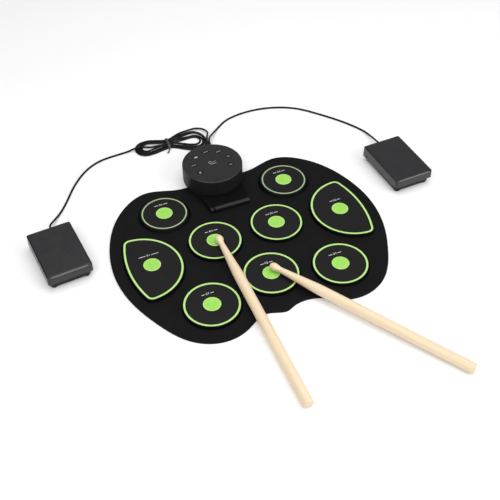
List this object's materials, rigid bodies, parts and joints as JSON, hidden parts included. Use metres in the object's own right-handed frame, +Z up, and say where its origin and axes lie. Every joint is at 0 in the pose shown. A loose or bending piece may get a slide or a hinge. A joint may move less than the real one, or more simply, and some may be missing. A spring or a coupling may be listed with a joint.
{
  "type": "roll-up electronic drum kit",
  "caption": "Soft roll-up electronic drum mat with raised round and leaf-shaped pads, a round button module, foot pedals on thin cords, and drumsticks.",
  "frame": {"origin": "middle of the mat's underside, on the surface it lies on", "axes": "+X to the player's right, +Y from the player towards the sound module, +Z up"},
  "size_m": [0.64, 0.6562, 0.0358],
  "materials": {
    "mat_silicone": "matte, fine soft grain",
    "pad_rubber": "matte, soft",
    "lime_inlay": "satin, light-storing lime green",
    "foam": "soft closed-cell foam",
    "film": "clear amber film with printed tracks",
    "sensor_metal": "satin",
    "module_plastic": "fine moulded texture",
    "button_rubber": "matte, pale printed marks",
    "board_green": "solder mask",
    "black_plastic": "moulded",
    "cream_plastic": "moulded",
    "steel": "zinc plated",
    "paper": "pressed paper",
    "cell_foil": "foil pouch",
    "foot_rubber": "matte",
    "pedal_plastic": "fine moulded texture",
    "pedal_base_plastic": "fine moulded texture",
    "cord_jacket": "satin PVC",
    "tie_black": "coated wire tie",
    "maple": "thin clear lacquer"
  },
  "bodies": {
    "kit": {"battery": "cell_foil", "charge_port": "steel", "cord_left_hank": "cord_jacket", "cord_left_plug_end": "cord_jacket", "cord_left_run": "cord_jacket", "cord_right_run": "cord_jacket", "film_connector": "cream_plastic", "hank_tie": "tie_black", "key_switches": "black_plastic", "link_cover": "module_plastic", "link_screws": "steel", "main_board": "board_green", "mat_base_sheet": "mat_silicone", "mat_top_skin": "mat_silicone", "module_base": "module_plastic", "module_feet": "foot_rubber", "module_screws": "steel", "module_top": "module_plastic", "pad_closed_hat": "pad_rubber", "pad_crash": "pad_rubber", "pad_dots": "lime_inlay", "pad_floor_tom": "pad_rubber", "pad_foams": "foam", "pad_kick": "pad_rubber", "pad_open_hat": "pad_rubber", "pad_ride": "pad_rubber", "pad_rings": "lime_inlay", "pad_snare": "pad_rubber", "pad_tom_left": "pad_rubber", "pad_tom_right": "pad_rubber", "pedal_base_left": "pedal_base_plastic", "pedal_base_right": "pedal_base_plastic", "pedal_boards": "board_green", "pedal_feet": "foot_rubber", "pedal_hinge_pins": "steel", "pedal_jack": "black_plastic", "pedal_plug": "cord_jacket", "pedal_relief_left": "cord_jacket", "pedal_relief_right": "cord_jacket", "pedal_spring_left": "steel", "pedal_spring_right": "steel", "pedal_switches": "black_plastic", "phones_jack": "black_plastic", "sensor_discs": "sensor_metal", "sensor_film": "film", "speaker_cone": "paper", "speaker_frame": "steel"},
    "button_1": {"button_1": "button_rubber"},
    "button_2": {"button_2": "button_rubber"},
    "button_3": {"button_3": "button_rubber"},
    "button_4": {"button_4": "button_rubber"},
    "button_5": {"button_5": "button_rubber"},
    "button_6": {"button_6": "button_rubber"},
    "button_7": {"button_7": "button_rubber"},
    "pedal_cover_left": {"pedal_cover_left": "pedal_plastic"},
    "pedal_cover_right": {"pedal_cover_right": "pedal_plastic"},
    "drumstick_left": {"drumstick_left": "maple"},
    "drumstick_right": {"drumstick_right": "maple"}
  },
  "joints": [
    {"name": "button_1_press", "type": "slide", "parent": "kit", "child": "button_1", "axis": [0, 0, -1], "range_m": [0, 0.0008], "stiffness_N_per_m": 400, "springref_m": -0.001},
    {"name": "button_2_press", "type": "slide", "parent": "kit", "child": "button_2", "axis": [0, 0, -1], "range_m": [0, 0.0008], "stiffness_N_per_m": 400, "springref_m": -0.001},
    {"name": "button_3_press", "type": "slide", "parent": "kit", "child": "button_3", "axis": [0, 0, -1], "range_m": [0, 0.0008], "stiffness_N_per_m": 400, "springref_m": -0.001},
    {"name": "button_4_press", "type": "slide", "parent": "kit", "child": "button_4", "axis": [0, 0, -1], "range_m": [0, 0.0008], "stiffness_N_per_m": 400, "springref_m": -0.001},
    {"name": "button_5_press", "type": "slide", "parent": "kit", "child": "button_5", "axis": [0, 0, -1], "range_m": [0, 0.0008], "stiffness_N_per_m": 400, "springref_m": -0.001},
    {"name": "button_6_press", "type": "slide", "parent": "kit", "child": "button_6", "axis": [0, 0, -1], "range_m": [0, 0.0008], "stiffness_N_per_m": 400, "springref_m": -0.001},
    {"name": "button_7_press", "type": "slide", "parent": "kit", "child": "button_7", "axis": [0, 0, -1], "range_m": [0, 0.0008], "stiffness_N_per_m": 400, "springref_m": -0.001},
    {"name": "pedal_left_press", "type": "hinge", "parent": "kit", "child": "pedal_cover_left", "pos_m": [-0.27971, 0.11067, 0.013], "axis": [0.9966, 0.0819, 0], "range_deg": [0, 2.2], "stiffness_Nm_per_rad": 4, "springref_deg": -5.73, "deforming": ["pedal_spring_left"]},
    {"name": "pedal_right_press", "type": "hinge", "parent": "kit", "child": "pedal_cover_right", "pos_m": [0.28668, 0.09756, 0.013], "axis": [0.999, 0.0454, 0], "range_deg": [0, 2.2], "stiffness_Nm_per_rad": 4, "springref_deg": -5.73, "deforming": ["pedal_spring_right"]},
    {"name": "drumstick_left_lift", "type": "slide", "parent": "kit", "child": "drumstick_left", "axis": [0, 0, 1], "range_m": [0, 0.15]},
    {"name": "drumstick_right_lift", "type": "slide", "parent": "kit", "child": "drumstick_right", "axis": [0, 0, 1], "range_m": [0, 0.15]}
  ]
}
